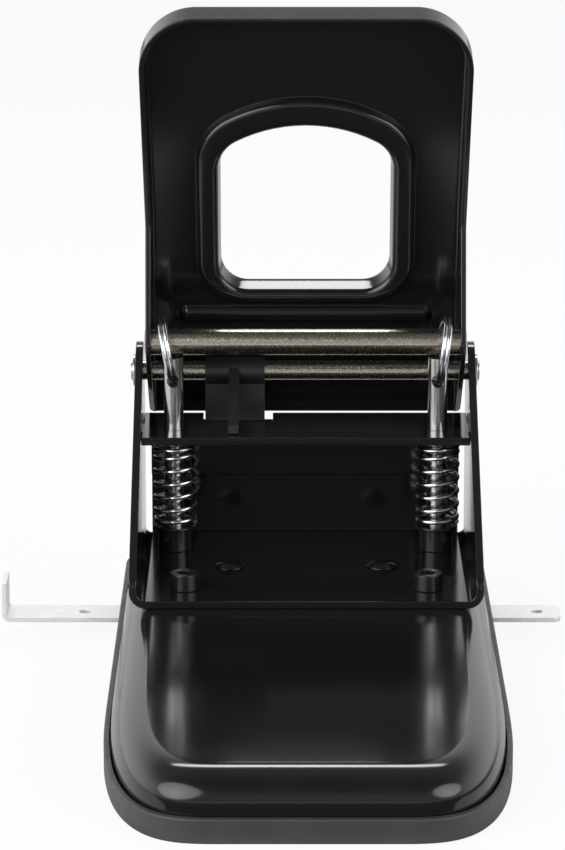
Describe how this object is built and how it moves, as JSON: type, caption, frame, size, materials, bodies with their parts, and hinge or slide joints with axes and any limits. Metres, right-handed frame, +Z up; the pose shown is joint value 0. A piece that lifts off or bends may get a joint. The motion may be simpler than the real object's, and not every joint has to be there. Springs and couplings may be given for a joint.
{
  "type": "two-hole punch",
  "caption": "Heavy-duty two-hole punch: tall lever handle with a hand hole on a folded steel frame, sprung pins, a domed base on a chip tray and a sliding paper guide.",
  "frame": {"origin": "on the desk, below the midpoint between the two punch pins", "axes": "+X to the right seen from the handle side, +Y from the handle side to the paper side, +Z up"},
  "size_m": [0.1685, 0.2423, 0.187],
  "materials": {
    "black_paint": "gloss black enamel on pressed steel",
    "black_steel": "blackened steel, satin",
    "tray_plastic": "matte dark grey moulded plastic",
    "lever_plastic": "black moulded nylon",
    "pin_steel": "ground hardened steel",
    "zinc_wire": "bright zinc plate",
    "nickel_rod": "warm nickel plate with a ground surface",
    "guide_zinc": "pale satin zinc plate",
    "inner_steel": "plain steel"
  },
  "bodies": {
    "tray": {"base_tray": "tray_plastic"},
    "chassis": {"base_cover": "black_paint", "die_plate": "black_paint", "die_bush_left": "pin_steel", "die_bush_right": "pin_steel", "spacer_block": "inner_steel", "u_frame": "black_paint", "bridge_plate": "black_paint", "guide_bush_left": "black_steel", "guide_bush_right": "black_steel", "floor_rivets": "black_paint", "frame_screws": "black_steel", "hinge_axle": "nickel_rod", "axle_clips": "zinc_wire", "return_spring_left": "zinc_wire", "return_spring_right": "zinc_wire"},
    "handle": {"handle_lever": "black_paint", "press_shaft": "nickel_rod"},
    "pin_left": {"punch_pin_left": "pin_steel", "pin_collar_left": "zinc_wire", "lift_ring_left": "zinc_wire"},
    "pin_right": {"punch_pin_right": "pin_steel", "pin_collar_right": "zinc_wire", "lift_ring_right": "zinc_wire"},
    "lock": {"lock_lever": "lever_plastic"},
    "guide": {"paper_guide": "guide_zinc"}
  },
  "joints": [
    {"name": "tray_lift", "type": "slide", "parent": "tray", "child": "chassis", "axis": [0, 0, 1], "range_m": [0, 0.02]},
    {"name": "handle_hinge", "type": "hinge", "parent": "chassis", "child": "handle", "pos_m": [0, 0.02, 0.072], "axis": [1, 0, 0], "range_deg": [0, 39.5]},
    {"name": "pin_left_slide", "type": "slide", "parent": "chassis", "child": "pin_left", "axis": [0, 0, -1], "range_m": [0, 0.0145], "stiffness_N_per_m": 600, "springref_m": -0.015, "deforming": ["return_spring_left"]},
    {"name": "pin_right_slide", "type": "slide", "parent": "chassis", "child": "pin_right", "axis": [0, 0, -1], "range_m": [0, 0.0145], "stiffness_N_per_m": 600, "springref_m": -0.015, "deforming": ["return_spring_right"]},
    {"name": "lock_swing", "type": "hinge", "parent": "chassis", "child": "lock", "pos_m": [0, 0.02, 0.072], "axis": [1, 0, 0], "range_deg": [-6, 0]},
    {"name": "guide_slide", "type": "slide", "parent": "tray", "child": "guide", "axis": [1, 0, 0], "range_m": [-0.016, 0.031]}
  ],
  "couplings": [
    {"joint": "pin_left_slide", "follows": "handle_hinge", "m_per_rad": 0.021014},
    {"joint": "pin_right_slide", "follows": "handle_hinge", "m_per_rad": 0.021014}
  ]
}
